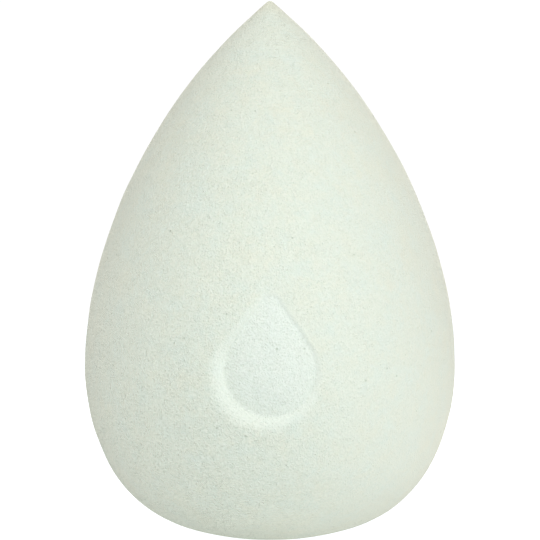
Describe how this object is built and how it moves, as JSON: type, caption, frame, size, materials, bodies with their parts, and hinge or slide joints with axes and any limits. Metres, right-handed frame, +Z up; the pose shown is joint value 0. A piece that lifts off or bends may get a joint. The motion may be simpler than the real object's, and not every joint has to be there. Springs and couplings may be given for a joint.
{
  "type": "makeup sponge",
  "caption": "Teardrop makeup sponge of soft foam with a pointed tip, full rounded base and a shallow debossed drop on the front, for blending make-up by hand.",
  "frame": {"origin": "centre of the flat foot, on the axis of the teardrop", "axes": "+Z up along the axis to the tip, -Y to the front with the debossed drop, +X to the right seen from the front"},
  "size_m": [0.0412, 0.0406, 0.06],
  "materials": {
    "skin": "matte velvety moulded foam skin, pale mint, finely pored",
    "core": "matte fine open-cell foam, pale mint"
  },
  "bodies": {
    "root": {"outer_skin": "skin", "foam_core": "core"}
  },
  "joints": []
}
